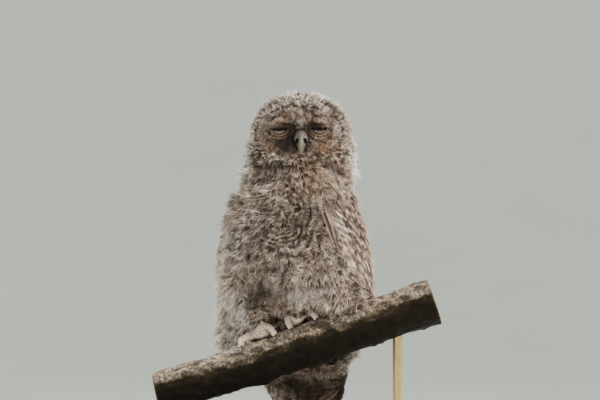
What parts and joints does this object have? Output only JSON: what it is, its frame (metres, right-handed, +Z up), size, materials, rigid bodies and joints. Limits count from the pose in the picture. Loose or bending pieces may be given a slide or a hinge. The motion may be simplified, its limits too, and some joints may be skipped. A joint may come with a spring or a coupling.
{
  "type": "tawny owl fledgling on a perch",
  "caption": "Life-size dozing tawny owl fledgling in grey barred down, gripping a short cut branch that short rods hold over a flat base.",
  "frame": {"origin": "on the stand's flat underside, straight below the middle of the perch", "axes": "+Z up; the bird's face looks along -Y, and the perch rises towards +X, the bird's left"},
  "size_m": [0.2606, 0.16, 0.3396],
  "materials": {
    "down": "soft matte down, pale grey-buff with brown bars",
    "feather": "matte vaned feather, brown with pale spots and bars",
    "toe_down": "short pale pinkish-buff feathering over the toes",
    "bill_horn": "satin horn, pale greenish ivory",
    "claw_horn": "polished dark horn",
    "eye": "wet, near-black eye",
    "bark": "rough grey-brown bark with lichen, sawn ends",
    "stand_wood": "dark stained wood, satin",
    "stand_metal": "satin brass"
  },
  "bodies": {
    "root": {"head": "down", "neck": "down", "trunk": "down", "tail": "feather", "eye_left": "eye", "eye_right": "eye", "wing_left": "feather", "wing_right": "feather", "leg_left": "down", "leg_right": "down", "foot_left": "toe_down", "toe_left_1": "toe_down", "toe_left_2": "toe_down", "toe_left_3": "toe_down", "toe_left_4": "toe_down", "claw_left_1": "claw_horn", "claw_left_2": "claw_horn", "claw_left_3": "claw_horn", "claw_left_4": "claw_horn", "foot_right": "toe_down", "toe_right_1": "toe_down", "toe_right_2": "toe_down", "toe_right_3": "toe_down", "toe_right_4": "toe_down", "claw_right_1": "claw_horn", "claw_right_2": "claw_horn", "claw_right_3": "claw_horn", "claw_right_4": "claw_horn", "bill_upper": "bill_horn", "bill_lower": "bill_horn", "perch": "bark", "stand_base": "stand_wood", "stand_rod_left": "stand_metal", "stand_rod_right": "stand_metal"}
  },
  "joints": []
}
